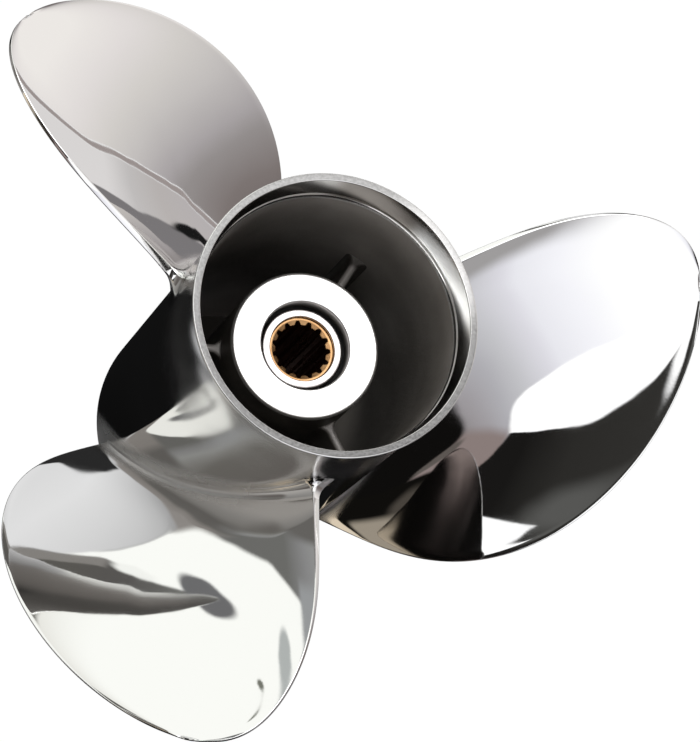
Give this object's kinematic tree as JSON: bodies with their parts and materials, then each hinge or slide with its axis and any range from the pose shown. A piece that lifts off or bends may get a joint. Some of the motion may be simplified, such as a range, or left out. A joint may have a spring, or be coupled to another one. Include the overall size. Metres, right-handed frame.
{
  "type": "outboard boat propeller",
  "caption": "Polished stainless boat propeller with wide raked blades on a through-hub exhaust barrel, a flared aft ring, a rubber-bushed inner hub and a bronze splined sleeve.",
  "frame": {"origin": "on the shaft axis, in the plane of the barrel's front end, which the propeller stands on", "axes": "+Z along the shaft axis, from the gear housing aft; angles run counter-clockwise seen from aft"},
  "size_m": [0.3086, 0.3224, 0.1788],
  "materials": {
    "polished_steel": "mirror polished",
    "inner_steel": "turned and blasted",
    "bush_rubber": "matt black",
    "collar_steel": "turned bright",
    "sleeve_bronze": "machined bronze"
  },
  "bodies": {
    "root": {"exhaust_barrel": "polished_steel", "diffuser_ring": "polished_steel", "inner_hub": "inner_steel", "rib_1": "inner_steel", "rib_2": "inner_steel", "rib_3": "inner_steel", "blade_1": "polished_steel", "blade_2": "polished_steel", "blade_3": "polished_steel", "rubber_bush": "bush_rubber", "sleeve_collar": "collar_steel", "splined_sleeve": "sleeve_bronze"}
  },
  "joints": []
}
